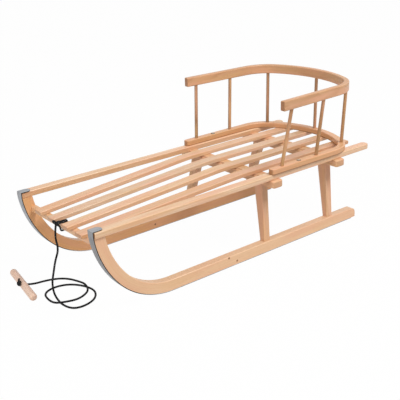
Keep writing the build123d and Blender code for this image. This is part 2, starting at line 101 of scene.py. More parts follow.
def beech(name, seed, grain, pith, pale="#E5BF99", tan="#D4A278", figured=1.0, side_shade_share=0.0,
          top_shade_share=0.0):
    """Steamed beech, planed, sanded and lacquered: pinkish tan, soft rings, short brown flecks.

    grain gives the place along, across and into the wood, and the share of end grain and painted
    contact shadow; pith is the middle of the rings, across and into the wood; figured is how
    strongly all this shows; the last two are the shares of painted shade, brown on vertical sides
    and grey on upper ones.
    """
    material, tree = bare_material(name)
    coords = add(tree, "ShaderNodeTexCoord")
    along, across, depth, end = grain(tree, coords)
    place = add(tree, JOIN, {0: along, 1: across, 2: depth}).outputs[0]
    # no two pieces come from the same place in the log
    apart = (seed * 0.73, seed * 0.117, seed * 0.061)
    place = add(tree, VECTOR, {0: place, 1: apart}, operation="ADD").outputs[0]
    noise = {}
    for pattern, length, width, detail in PATTERNS:
        stretch = (1 / length, 1 / width, 1 / width)
        drawn = add(tree, VECTOR, {0: place, 1: stretch}, operation="MULTIPLY").outputs[0]
        noise[pattern] = add(tree, NOISE, {"Vector": drawn, "Scale": 1.0,
                                           "Detail": detail}).outputs
    figure, fibre = noise["figure"]["Fac"], noise["fibre"]["Fac"]

    # rings round the pith wander over a hand's length, darken outwards and end sharply
    radius = add(tree, JOIN, {1: across, 2: depth}).outputs[0]
    radius = add(tree, VECTOR, {0: radius, 1: (0, *pith)}, operation="SUBTRACT").outputs[0]
    radius = add(tree, VECTOR, {0: radius}, operation="LENGTH").outputs["Value"]
    wander = add(tree, MATH, {0: figure, 1: RING_WANDER, 2: radius},
                 operation="MULTIPLY_ADD").outputs[0]
    ring = add(tree, MATH, {0: wander, 1: RING_W}, operation="DIVIDE").outputs[0]
    ring = add(tree, MATH, {0: ring}, operation="FRACT").outputs[0]
    early = add(tree, RANGE, {"Value": ring, "From Min": 0.15,
                              "From Max": LATE_WOOD}).outputs["Result"]
    late = add(tree, RANGE, {"Value": ring, "From Min": LATE_WOOD, "From Max": 1.0,
                             "To Min": 1.0, "To Max": 0.0}).outputs["Result"]
    ring = add(tree, MATH, {0: early, 1: late}, operation="MULTIPLY").outputs[0]
    ring = add(tree, MATH, {0: ring, 1: 0.50 * figured}, operation="MULTIPLY").outputs[0]
    # fine lines of fibres and vessels, and ray flecks
    lines = add(tree, RANGE, {"Value": fibre, "From Min": 0.35, "From Max": 0.75,
                              "To Max": 0.50 * figured}).outputs["Result"]
    fleck = add(tree, RANGE, {"Value": noise["fleck"]["Fac"], "From Min": 0.64,
                              "From Max": 0.74}).outputs["Result"]
    rays = add(tree, MATH, {0: fleck, 1: 0.40 * figured}, operation="MULTIPLY").outputs[0]
    # steaming leaves rosy and yellow stretches, fainter on plain wood
    blotched = min(1.0, figured + 0.3)
    blush = add(tree, SPLIT, {0: noise["blush"]["Color"]}).outputs
    rosy = add(tree, RANGE, {"Value": blush[0], "From Min": 0.42, "From Max": 0.66,
                             "To Max": 0.55 * blotched}).outputs["Result"]
    yellow = add(tree, RANGE, {"Value": blush[1], "From Min": 0.50, "From Max": 0.70,
                               "To Max": 0.40 * blotched}).outputs["Result"]
    # painted shade by how a face is turned: upper sides greyed, vertical sides browned
    up = add(tree, SPLIT, {0: coords.outputs["Normal"]}).outputs[2]
    top_shade = add(tree, RANGE, {"Value": up, "From Min": 0.5, "From Max": 0.85,
                             "To Max": top_shade_share}).outputs["Result"]
    side_shade = add(tree, MATH, {0: up}, operation="ABSOLUTE").outputs[0]
    side_shade = add(tree, RANGE, {"Value": side_shade, "From Min": 0.7, "From Max": 0.3,
                                "To Max": side_shade_share}).outputs["Result"]
    # the end brown marks end grain, and on the backrest's base also the painted contact shadow
    end_grain_and_shade = add(tree, MATH, {0: end, 1: 0.85}, operation="MULTIPLY").outputs[0]

    colour = linear(pale)
    for share, tone in ((ring, tan), (lines, FIBRE_BROWN), (rosy, ROSY), (yellow, YELLOW),
                        (top_shade, TOP_SHADE_GREY), (side_shade, SIDE_SHADE_BROWN), (rays, FLECK_BROWN),
                        (end_grain_and_shade, END_GRAIN_AND_SHADE_BROWN)):
        colour = add(tree, MIX, {0: share, 6: colour, 7: linear(tone)},
                     data_type="RGBA").outputs[2]
    sheen = add(tree, RANGE, {"Value": fibre, "From Min": 0.3, "From Max": 0.7,
                              "To Min": 0.36, "To Max": 0.52}).outputs["Result"]
    relief = add(tree, MATH, {0: fleck, 1: -0.5, 2: fibre}, operation="MULTIPLY_ADD").outputs[0]
    bump = add(tree, "ShaderNodeBump", {"Strength": 0.22, "Distance": 0.0004,
                                        "Height": relief}).outputs["Normal"]
    shader = add(tree, "ShaderNodeBsdfPrincipled", {
        "Base Color": colour, "Roughness": sheen, "IOR": 1.5, "Normal": bump,
        "Coat Weight": 0.18, "Coat Roughness": 0.25})
    add(tree, "ShaderNodeOutputMaterial", {"Surface": shader.outputs[0]})
    return material


def dress(node, material):
    """Puts a material on a CAD node's slots."""
    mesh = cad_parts[node].data
    if not mesh.materials:
        mesh.materials.append(material)
    for i in range(len(mesh.materials)):
        mesh.materials[i] = material


def round_runner(y_middle, marks):
    """Grain of a runner along its bent length, across it and in from its middle, with pin knots."""
    upper_x = BEND_X + (LOW_R - TIP_R) * math.sin(LOW_TURN)
    upper_z = LOW_R - (LOW_R - TIP_R) * math.cos(LOW_TURN)
    upper_start = BEND_X + (LOW_R - TIP_R) * LOW_TURN

    def grain(tree, coords):
        x, y, z = add(tree, SPLIT, {0: coords.outputs["Object"]}).outputs
        bends = []
        for radius, centre_x, centre_z, start in ((LOW_R, BEND_X, LOW_R, BEND_X),
                                                  (TIP_R, upper_x, upper_z, upper_start)):
            ahead = add(tree, MATH, {0: x, 1: centre_x}, operation="SUBTRACT").outputs[0]
            below = add(tree, MATH, {0: centre_z, 1: z}, operation="SUBTRACT").outputs[0]
            turn = add(tree, MATH, {0: ahead, 1: below}, operation="ARCTAN2").outputs[0]
            reach = add(tree, JOIN, {0: ahead, 1: below}).outputs[0]
            reach = add(tree, VECTOR, {0: reach}, operation="LENGTH").outputs["Value"]
            length = add(tree, MATH, {0: turn, 1: radius, 2: start},
                         operation="MULTIPLY_ADD").outputs[0]
            inset = add(tree, MATH, {0: radius - RUNNER_MIDDLE_Z, 1: reach},
                        operation="SUBTRACT").outputs[0]
            bends.append((turn, length, inset))
        level = add(tree, MATH, {0: z, 1: RUNNER_MIDDLE_Z}, operation="SUBTRACT").outputs[0]
        bent = add(tree, MATH, {0: x, 1: BEND_X}, operation="GREATER_THAN").outputs[0]
        upper = add(tree, MATH, {0: bends[0][0], 1: LOW_TURN},
                    operation="GREATER_THAN").outputs[0]
        upper = add(tree, MATH, {0: upper, 1: bent}, operation="MULTIPLY").outputs[0]
        along, depth = x, level
        for share, (_, length, inset) in zip((bent, upper), bends):
            along = add(tree, MIX, {0: share, 2: along, 3: length}, data_type="FLOAT").outputs[0]
            depth = add(tree, MIX, {0: share, 2: depth, 3: inset}, data_type="FLOAT").outputs[0]
        across = add(tree, MATH, {0: y, 1: y_middle}, operation="SUBTRACT").outputs[0]
        facing = add(tree, SPLIT, {0: coords.outputs["Normal"]}).outputs[0]
        tail = add(tree, MATH, {0: x, 1: RUNNER_TAIL_X}, operation="LESS_THAN").outputs[0]
        end = add(tree, RANGE, {"Value": facing, "From Min": -0.35,
                                "From Max": -0.85}).outputs["Result"]
        end = add(tree, MATH, {0: end, 1: tail}, operation="MULTIPLY").outputs[0]
        for mark in marks:
            gap = add(tree, VECTOR, {0: coords.outputs["Object"], 1: mark},
                      operation="DISTANCE").outputs["Value"]
            spot = add(tree, RANGE, {"Value": gap, "From Min": MARK_R, "From Max": MARK_CORE_R,
                                     "To Max": 2.0}).outputs["Result"]
            end = add(tree, MATH, {0: end, 1: spot}, operation="MAXIMUM").outputs[0]
        return along, across, depth, end
    return grain


# painted shade: both runners' upper sides are greyed, and the far runner, under the seat, gets
# darker, more saturated tones than the near one
dress("runner_left", beech("beech_runner_left", 1, round_runner(RUNNER_Y, NEAR_MARKS),
                           (0.012, 0.052), figured=0.4, top_shade_share=0.35))
dress("runner_right", beech("beech_runner_right", 2, round_runner(-RUNNER_Y, FAR_MARKS),
                            (-0.020, 0.048), "#E2AC75", "#CE8B53", figured=0.4, top_shade_share=0.35))


# Runner irons: mild-steel strip, 22 by 2 mm, rolled and bent round the sole and up the front, its
# end hammered over the rail. Rolling leaves fine lengthwise streaks and a grey, half-dull surface.
STREAK_L, STREAK_W = 1 / 6, 0.0007
# between these heights the dark mill scale comes in on the edges
SCALE_FROM_Z, SCALE_FULL_Z = 0.004, 0.030


def rolled_steel(name, front_shade_share):
    """Cold-rolled mild-steel strip: grey, streaked, small dull spots, and painted shade on the
    bend.
    """
    material, tree = bare_material(name)
    coords = add(tree, "ShaderNodeTexCoord")
    # the streaks run along X and up the bend, so they only change across the strip
    stretch = (1 / STREAK_L, 1 / STREAK_W, 1 / STREAK_L)
    lines = add(tree, VECTOR, {0: coords.outputs["Object"], 1: stretch},
                operation="MULTIPLY").outputs[0]
    streak = add(tree, NOISE, {"Vector": lines, "Scale": 1.0, "Detail": 3.0}).outputs["Fac"]
    # dull clouds about 17 mm across
    cloud = add(tree, NOISE, {"Vector": coords.outputs["Object"], "Scale": 60.0,
                              "Detail": 4.0}).outputs["Fac"]
    bright = add(tree, RANGE, {"Value": streak, "From Min": 0.35,
                               "From Max": 0.65}).outputs["Result"]
    clouded = add(tree, RANGE, {"Value": cloud, "From Min": 0.52, "From Max": 0.72,
                                "To Max": 0.5}).outputs["Result"]
    # painted shade: the front of the bend is darkened, and the hammered fold more so
    ahead, edge, up = add(tree, SPLIT, {0: coords.outputs["Normal"]}).outputs
    front = add(tree, RANGE, {"Value": ahead, "From Min": 0.25, "From Max": 0.6,
                              "To Max": front_shade_share}).outputs["Result"]
    fold_shade = add(tree, MATH, {0: ahead, 1: up}, operation="MULTIPLY").outputs[0]
    fold_shade = add(tree, RANGE, {"Value": fold_shade, "From Min": 0.2, "From Max": 0.42,
                             "To Max": 0.7}).outputs["Result"]
    # the sheared edges keep their dark mill scale up the bend; along the sole they are bright
    edge = add(tree, MATH, {0: edge}, operation="ABSOLUTE").outputs[0]
    edge = add(tree, RANGE, {"Value": edge, "From Min": 0.6, "From Max": 0.8}).outputs["Result"]
    height = add(tree, SPLIT, {0: coords.outputs["Object"]}).outputs[2]
    unworn = add(tree, RANGE, {"Value": height, "From Min": SCALE_FROM_Z,
                               "From Max": SCALE_FULL_Z}).outputs["Result"]
    edge = add(tree, MATH, {0: edge, 1: unworn}, operation="MULTIPLY").outputs[0]

    colour = linear("#96989C")
    for share, tone in ((bright, "#ADAFB2"), (clouded, "#828488"), (front, "#605A55"),
                        (fold_shade, "#48484A"), (edge, "#3B3836")):
        colour = add(tree, MIX, {0: share, 6: colour, 7: linear(tone)},
                     data_type="RGBA").outputs[2]
    dull = add(tree, RANGE, {"Value": cloud, "From Min": 0.3, "From Max": 0.7,
                             "To Min": 0.36, "To Max": 0.52}).outputs["Result"]
    bump = add(tree, "ShaderNodeBump", {"Strength": 0.25, "Distance": 0.0002,
                                        "Height": streak}).outputs["Normal"]
    shader = add(tree, "ShaderNodeBsdfPrincipled", {
        "Base Color": colour, "Metallic": 1.0, "Roughness": dull, "Normal": bump})
    add(tree, "ShaderNodeOutputMaterial", {"Surface": shader.outputs[0]})
    return material


# painted shade on the near iron's front; the far iron has none
dress("runner_iron_left", rolled_steel("rolled_steel_left", 0.26))
dress("runner_iron_right", rolled_steel("rolled_steel_right", 0.0))


# Rails, slats, crossbars, legs and the nose bar: straight beech, sawn along the grain, planed and
# eased. Each has a tone and a ring pattern of its own; the cut ends show darker end grain.
ALONG_X, ALONG_Y, ALONG_Z = (0, 1, 2), (1, 0, 2), (2, 1, 0)
# how far the legs lean along X and inwards, per height
LEG_BACK, LEG_IN = -0.106, 0.216
# how dark the cut ends are; legs, rails and the nose bar keep the full tone
END_SHARES = {"crossbar": 0.25, "slat": 0.5}
# node, grain axes, seed, pith (across, into the wood), pale and darker tone, painted side shade
BOARDS = [
    ("rail_left", ALONG_X, 3, (0.030, 0.060), "#E7CCAF", "#D5AD8B", 0.10),
    ("rail_right", ALONG_X, 4, (-0.020, 0.075), "#F3D9BA", "#DBB089", 0.46),
    ("slat_1", ALONG_X, 5, (0.045, -0.030), "#E6C4A5", "#D09E77", 0.18),
    ("slat_2", ALONG_X, 6, (-0.012, 0.060), "#DCC1A5", "#CAA280", 0.11),
    ("slat_3", ALONG_X, 7, (0.030, 0.050), "#E7C8A8", "#D4A782", 0.34),
    ("slat_4", ALONG_X, 8, (-0.040, 0.040), "#DBB394", "#C5916B", 0.28),
    ("nose_bar", ALONG_Y, 9, (0.020, 0.050), "#E0BD97", "#C89469", 0.15),
    ("crossbar_front", ALONG_Y, 10, (0.050, -0.020), "#DFBA94", "#C79468", 0.20),
    ("crossbar_rear", ALONG_Y, 11, (-0.030, 0.050), "#E0BB95", "#C9966C", 0.20),
    ("leg_front_left", ALONG_Z, 12, (0.040, 0.030), "#D2A88A", "#BD8A66", 0.00),
    ("leg_front_right", ALONG_Z, 13, (0.030, -0.050), "#E5BE98", "#CB976C", 0.00),
    ("leg_rear_left", ALONG_Z, 14, (-0.050, 0.020), "#D6AE8F", "#C18E6B", 0.00),
    ("leg_rear_right", ALONG_Z, 15, (0.020, 0.060), "#E5BE98", "#CB976C", 0.00),
]


def straight(node, axes, lean=(0, 0), end_share=1.0):
    """Grain of a straight piece along its first axis, from its box's middle; lean is per height."""
    low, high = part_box(node)
    middle = (low + high) / 2

    def grain(tree, coords):
        place = add(tree, VECTOR, {0: coords.outputs["Object"], 1: middle},
                    operation="SUBTRACT").outputs[0]
        height = add(tree, SPLIT, {0: place}).outputs[2]
        place = add(tree, VECTOR, {0: height, 1: (-lean[0], -lean[1], 0), 2: place},
                    operation="MULTIPLY_ADD").outputs[0]
        place = add(tree, SPLIT, {0: place}).outputs
        facing = add(tree, SPLIT, {0: coords.outputs["Normal"]}).outputs[axes[0]]
        facing = add(tree, MATH, {0: facing}, operation="ABSOLUTE").outputs[0]
        end = add(tree, RANGE, {"Value": facing, "From Min": 0.55, "From Max": 0.9,
                                "To Max": end_share}).outputs["Result"]
        return place[axes[0]], place[axes[1]], place[axes[2]], end
    return grain


for node, axes, seed, pith, pale, tan, side_shade_share in BOARDS:
    lean = (0, 0)
    if node.startswith("leg"):
        lean = (LEG_BACK, LEG_IN if node.endswith("right") else -LEG_IN)
    end_share = END_SHARES.get(node.split("_")[0], 1.0)
    dress(node, beech("beech_" + node, seed, straight(node, axes, lean, end_share), pith,
                      pale, tan, side_shade_share=side_shade_share))


# Backrest: two beech laths bent to a U, the lower one flat on the seat, the upper one on edge, and
# turned dowels glued into blind holes between them. The grain runs round the bends.
# painted contact shadow: it fades out between these heights above the base's foot
CONTACT_SHADE_H, CONTACT_SHADE_FULL_H = 0.0030, 0.0016
# the arms' cut ends: the length they are looked for in, and how dark they are
TIP_LENGTH, TIP_END_SHARE = 0.010, 0.75
SPINDLES = ["front_left", "front_right", "middle_left", "middle_right", "corner_left",
            "corner_right", "back"]
SPINDLE_SEED, SPINDLE_PITH = 18, (0.020, 0.012)


def round_bend(width, middle_z, x_rear, corner_r, back_r, half_out, x_front, shaded_foot_z=None):
    """Grain of a U bend: along arm, corner and bowed back, the same on both sides of the sled.

    half_out and the radii are those of its outer side; the last argument is the height of its
    foot, along which a contact shadow is painted.
    """
    y_k = half_out - corner_r
    x_c = x_rear + back_r
    x_k = x_c - math.sqrt((back_r - corner_r) ** 2 - y_k ** 2)
    mid_r = corner_r - width / 2
    back_mid_r = back_r - width / 2
    meet = math.pi / 2 - math.asin(y_k / (back_r - corner_r))

    def grain(tree, coords):
        x, y, z = add(tree, SPLIT, {0: coords.outputs["Object"]}).outputs
        side = add(tree, MATH, {0: y}, operation="ABSOLUTE").outputs[0]
        # the corner, round its own middle
        behind = add(tree, MATH, {0: x_k, 1: x}, operation="SUBTRACT").outputs[0]
        out = add(tree, MATH, {0: side, 1: y_k}, operation="SUBTRACT").outputs[0]
        turn = add(tree, MATH, {0: behind, 1: out}, operation="ARCTAN2").outputs[0]
        reach = add(tree, JOIN, {0: behind, 1: out}).outputs[0]
        reach = add(tree, VECTOR, {0: reach}, operation="LENGTH").outputs["Value"]
        bend_along = add(tree, MATH, {0: turn, 1: mid_r}, operation="MULTIPLY").outputs[0]
        bend_across = add(tree, MATH, {0: reach, 1: mid_r}, operation="SUBTRACT").outputs[0]
        arm_across = add(tree, MATH, {0: out, 1: mid_r}, operation="SUBTRACT").outputs[0]
        # the bowed back, round a middle further forward
        far = add(tree, MATH, {0: x_c, 1: x}, operation="SUBTRACT").outputs[0]
        sweep = add(tree, MATH, {0: far, 1: side}, operation="ARCTAN2").outputs[0]
        sweep = add(tree, MATH, {0: sweep, 1: meet}, operation="SUBTRACT").outputs[0]
        back_along = add(tree, MATH, {0: sweep, 1: back_mid_r, 2: meet * mid_r},
                         operation="MULTIPLY_ADD").outputs[0]
        span = add(tree, JOIN, {0: far, 1: side}).outputs[0]
        span = add(tree, VECTOR, {0: span}, operation="LENGTH").outputs["Value"]
        back_across = add(tree, MATH, {0: span, 1: back_mid_r}, operation="SUBTRACT").outputs[0]
        in_bend = add(tree, MATH, {0: behind, 1: 0.0}, operation="GREATER_THAN").outputs[0]
        in_back = add(tree, MATH, {0: turn, 1: meet}, operation="GREATER_THAN").outputs[0]
        in_back = add(tree, MATH, {0: in_back, 1: in_bend}, operation="MULTIPLY").outputs[0]
        along, across = behind, arm_across
        for share, next_along, next_across in ((in_bend, bend_along, bend_across),
                                               (in_back, back_along, back_across)):
            along = add(tree, MIX, {0: share, 2: along, 3: next_along},
                        data_type="FLOAT").outputs[0]
            across = add(tree, MIX, {0: share, 2: across, 3: next_across},
                         data_type="FLOAT").outputs[0]
        depth = add(tree, MATH, {0: z, 1: middle_z}, operation="SUBTRACT").outputs[0]
        # end grain at the arms' front ends
        facing = add(tree, SPLIT, {0: coords.outputs["Normal"]}).outputs[0]
        end = add(tree, RANGE, {"Value": facing, "From Min": 0.6, "From Max": 0.92,
                                "To Max": TIP_END_SHARE}).outputs["Result"]
        at_tip = add(tree, MATH, {0: x, 1: x_front - TIP_LENGTH},
                     operation="GREATER_THAN").outputs[0]
        end = add(tree, MATH, {0: end, 1: at_tip}, operation="MULTIPLY").outputs[0]
        if shaded_foot_z is not None:
            # painted contact shadow darkens the lowest 2 mm, where the bend stands on the rails
            contact_shade = add(tree, RANGE, {"Value": z, "From Min": shaded_foot_z + CONTACT_SHADE_H,
                                     "From Max": shaded_foot_z + CONTACT_SHADE_FULL_H}).outputs["Result"]
            end = add(tree, MATH, {0: end, 1: contact_shade}, operation="MAXIMUM").outputs[0]
        return along, across, depth, end
    return grain


# the base gets a painted contact shadow along its foot and painted shade on its vertical sides
base_grain = round_bend(width=0.021, middle_z=0.223, x_rear=-0.4425, corner_r=0.092, back_r=0.255,
                        half_out=0.1875, x_front=-0.076, shaded_foot_z=0.2155)
dress("backrest_base", beech("beech_backrest_base", 16, base_grain, (0.030, 0.040),
                             "#D9AB7F", "#C0885A", side_shade_share=0.31))
top_grain = round_bend(width=0.0155, middle_z=0.3955, x_rear=-0.4433, corner_r=0.104, back_r=0.296,
                       half_out=0.1916, x_front=-0.0965)
dress("backrest_top", beech("beech_backrest_top", 17, top_grain, (0.050, 0.010),
                            "#C2966F", "#A77247"))
for number, place in enumerate(SPINDLES):
    node = "spindle_" + place
    # painted shade: the far spindles get darker tones than the near ones
    pale, tan = ("#A07549", "#8B5B30") if place.endswith("left") else ("#846240", "#724C2A")
    dress(node, beech("beech_" + node, SPINDLE_SEED + number, straight(node, ALONG_Z),
                      SPINDLE_PITH, pale, tan))


# Screws: a countersunk wood screw in a cup washer holds each arm of the backrest's base down to the
# rail. Both are steel, the head zinc plated with a cross recess, the washer in painted shade.
SCREW_SIZES = {"Head Radius": 0.0043, "Washer Radius": 0.0062, "Washer Height": 0.0012,
               "Recess Width": 0.0012}
SCREWS_AT = [(-0.181, 0.1765, 0.2305), (-0.181, -0.1765, 0.2305)]
ROUND = 32
# shares of the head's radius: the washer's lip, the head itself and the recess from tip to tip
LIP, HEAD, RECESS = 1.10, 0.90, 1.15
# the head's height as a share of the washer's
HEAD_DEPTH = 0.85


def zinc_plate(name):
    """Zinc-plated steel: pale and softly clouded on the head; painted shade, dark brown, on the
    washer.
    """
    material, tree = bare_material(name)
    coords = add(tree, "ShaderNodeTexCoord")
    # crystal clouds about 2 mm across
    cloud = add(tree, NOISE, {"Vector": coords.outputs["Object"], "Scale": 500.0,
                              "Detail": 3.0}).outputs["Fac"]
    # painted shade darkens the washer from where the head ends;
    # folding Y over serves both screws at once
    x, y, _ = add(tree, SPLIT, {0: coords.outputs["Object"]}).outputs
    side = add(tree, MATH, {0: y}, operation="ABSOLUTE").outputs[0]
    place = add(tree, JOIN, {0: x, 1: side}).outputs[0]
    gap = add(tree, VECTOR, {0: place, 1: (*SCREWS_AT[0][:2], 0)},
              operation="DISTANCE").outputs["Value"]
    head_r = SCREW_SIZES["Head Radius"]
    washer_shade = add(tree, RANGE, {"Value": gap, "From Min": head_r * 0.92,
                            "From Max": head_r}).outputs["Result"]

    colour = linear("#D2CCBE")
    for share, tone in ((cloud, "#E6DFD0"), (washer_shade, "#5A4430")):
        colour = add(tree, MIX, {0: share, 6: colour, 7: linear(tone)},
                     data_type="RGBA").outputs[2]
    dull = add(tree, RANGE, {"Value": cloud, "From Min": 0.3, "From Max": 0.7,
                             "To Min": 0.28, "To Max": 0.42}).outputs["Result"]
    shader = add(tree, "ShaderNodeBsdfPrincipled", {
        "Base Color": colour, "Metallic": 1.0, "Roughness": dull})
    add(tree, "ShaderNodeOutputMaterial", {"Surface": shader.outputs[0]})
    return material


screw_tree = bpy.data.node_groups.new("screw_in_cup_washer", "GeometryNodeTree")
sockets = screw_tree.interface
sockets.new_socket("Geometry", in_out="OUTPUT", socket_type="NodeSocketGeometry")
sockets.new_socket("Places", in_out="INPUT", socket_type="NodeSocketGeometry")
size_ids = {}
for size_name in SCREW_SIZES:
    socket = sockets.new_socket(size_name, in_out="INPUT", socket_type="NodeSocketFloat")
    size_ids[size_name] = socket.identifier
given = add(screw_tree, "NodeGroupInput").outputs
washer_h = given["Washer Height"]
lip_r, head_r, recess_l = [
    add(screw_tree, MATH, {0: given["Head Radius"], 1: share}, operation="MULTIPLY").outputs[0]
    for share in (LIP, HEAD, RECESS)]
head_h = add(screw_tree, MATH, {0: washer_h, 1: HEAD_DEPTH}, operation="MULTIPLY").outputs[0]
lift = add(screw_tree, JOIN, {2: washer_h}).outputs[0]
# the washer is a low cone with a bore for the head
cup = add(screw_tree, "GeometryNodeMeshCone", {
    "Vertices": ROUND, "Radius Top": lip_r, "Radius Bottom": given["Washer Radius"],
    "Depth": washer_h}).outputs["Mesh"]
bore = add(screw_tree, "GeometryNodeMeshCylinder", {
    "Vertices": ROUND, "Radius": given["Head Radius"], "Depth": washer_h}).outputs["Mesh"]
bore = add(screw_tree, "GeometryNodeTransform", {"Geometry": bore, "Translation": lift}).outputs[0]
cup = add(screw_tree, "GeometryNodeMeshBoolean", {"Mesh 1": cup, "Mesh 2": bore},
          operation="DIFFERENCE", solver="EXACT").outputs["Mesh"]
# the head has a cross recess, cut by two bars
head = add(screw_tree, "GeometryNodeMeshCone", {
    "Vertices": ROUND, "Radius Top": head_r, "Radius Bottom": head_r,
    "Depth": head_h}).outputs["Mesh"]
for length, width in ((recess_l, given["Recess Width"]), (given["Recess Width"], recess_l)):
    size = add(screw_tree, JOIN, {0: length, 1: width, 2: washer_h}).outputs[0]
    bar = add(screw_tree, "GeometryNodeMeshCube", {"Size": size}).outputs["Mesh"]
    bar = add(screw_tree, "GeometryNodeTransform", {"Geometry": bar,
                                                    "Translation": lift}).outputs[0]
    head = add(screw_tree, "GeometryNodeMeshBoolean", {"Mesh 1": head, "Mesh 2": bar},
               operation="DIFFERENCE", solver="EXACT").outputs["Mesh"]
screw = add(screw_tree, "GeometryNodeJoinGeometry", {0: cup})
screw_tree.links.new(head, screw.inputs[0])
placed = add(screw_tree, "GeometryNodeInstanceOnPoints", {
    "Points": given["Places"], "Instance": screw.outputs[0]}).outputs[0]
solid = add(screw_tree, "GeometryNodeRealizeInstances", {0: placed}).outputs[0]
plated = add(screw_tree, "GeometryNodeSetMaterial", {
    "Geometry": solid, "Material": zinc_plate("zinc_plated_steel")}).outputs[0]
add(screw_tree, "NodeGroupOutput", {0: plated})

screw_places = bpy.data.meshes.new("base_screws")
screw_places.from_pydata(SCREWS_AT, [], [])
base_screws = bpy.data.objects.new("base_screws", screw_places)
bpy.context.scene.collection.objects.link(base_screws)
maker = base_screws.modifiers.new("screws", "NODES")
maker.node_group = screw_tree
for size_name, identifier in size_ids.items():
    maker[identifier] = SCREW_SIZES[size_name]
made = base_screws.evaluated_get(bpy.context.evaluated_depsgraph_get())
screw_mesh = bpy.data.meshes.new_from_object(made)
base_screws.modifiers.remove(maker)
base_screws.data = screw_mesh
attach(base_screws, "root")


# Tow cord: eight-strand black braid, 4.4 mm thick and 0.93 m long, tied to the nose bar. It hangs
# to the floor, lies there in two loose loops and goes through the handle to a stopper knot.
# radius at the crowns; strands of each hand, one turn's length and the share that they stand out
CORD_R = 0.0026
STRANDS, PITCH, RELIEF = 4, 0.019, 0.16
# how steeply a strand falls off to its sides, and how far it sinks below the next one
CROWN, WEAVE = 3.2, 0.8
# the handle it goes through: radius, middle, its turn on the floor and the tilt of its hole
HANDLE_R = 0.009375
HANDLE_AT = Vector((TIP_X + 0.0566, -0.087, HANDLE_R))
HANDLE_TURN, HOLE_TILT = math.radians(9.65), math.radians(25.0)
# the cord ends this far outside the handle, where the stopper knot starts
STOP_GAP = 0.0003
# heights of the cord's middle on the floor, half way up and on top of another run
LIE, HALF, OVER = 0.0026, 0.0069, 0.01150
across_handle = Vector((math.cos(HANDLE_TURN), -math.sin(HANDLE_TURN), 0))
hole_dir = across_handle * math.cos(HOLE_TILT) + Vector((0, 0, math.sin(HOLE_TILT)))
cord_in = HANDLE_AT - hole_dir * ((HANDLE_R - LIE) / math.sin(HOLE_TILT))
cord_out = HANDLE_AT + hole_dir * (HANDLE_R + STOP_GAP)
ROUTE = [
    (0.4510, -0.0135, 0.17050),
    # down from the nose bar to the floor
    (0.4505, -0.026, 0.140), (0.454, -0.006, 0.112), (0.461, -0.0165, 0.080),
    (0.468, -0.019, 0.048), (0.473, -0.0223, 0.022), (0.479, -0.0075, LIE + 0.001),
    # the first loop
    (0.488, 0.0225, LIE), (0.4945, 0.060, LIE), (0.486, 0.094, LIE), (0.458, 0.102, LIE),
    (0.4205, 0.0895, LIE), (0.397, 0.054, LIE), (0.404, 0.012, LIE), (0.429, -0.0225, LIE),
    # the second loop, over the first
    (0.467, -0.033, LIE), (0.4995, -0.0185, LIE), (0.507, 0.016, LIE), (0.5075, 0.048, HALF),
    (0.492, 0.067, OVER), (0.454, 0.062, LIE), (0.427, 0.0535, LIE), (0.412, 0.045, HALF),
    (0.406, 0.022, OVER), (0.4005, -0.0125, LIE),
    # on to the handle and through its hole
    (0.4155, -0.054, LIE), (0.4505, -0.077, LIE), tuple(cord_in), tuple(cord_out),
]


def nurbs_points(name, route, steps):
    """Points along a smooth NURBS line with these control points."""
    curve = bpy.data.curves.new(name, "CURVE")
    curve.dimensions = "3D"
    curve.resolution_u = steps
    spline = curve.splines.new("NURBS")
    spline.points.add(len(route) - 1)
    for point, place in zip(spline.points, route):
        point.co = (*place, 1.0)
    spline.order_u = 3
    spline.use_endpoint_u = True
    holder = bpy.data.objects.new(name, curve)
    bpy.context.scene.collection.objects.link(holder)
    drawn = holder.evaluated_get(bpy.context.evaluated_depsgraph_get())
    line = bpy.data.meshes.new_from_object(drawn)
    points = np.array([v.co for v in line.vertices], float)
    bpy.data.objects.remove(holder)
    bpy.data.curves.remove(curve)
    bpy.data.meshes.remove(line)
    return points


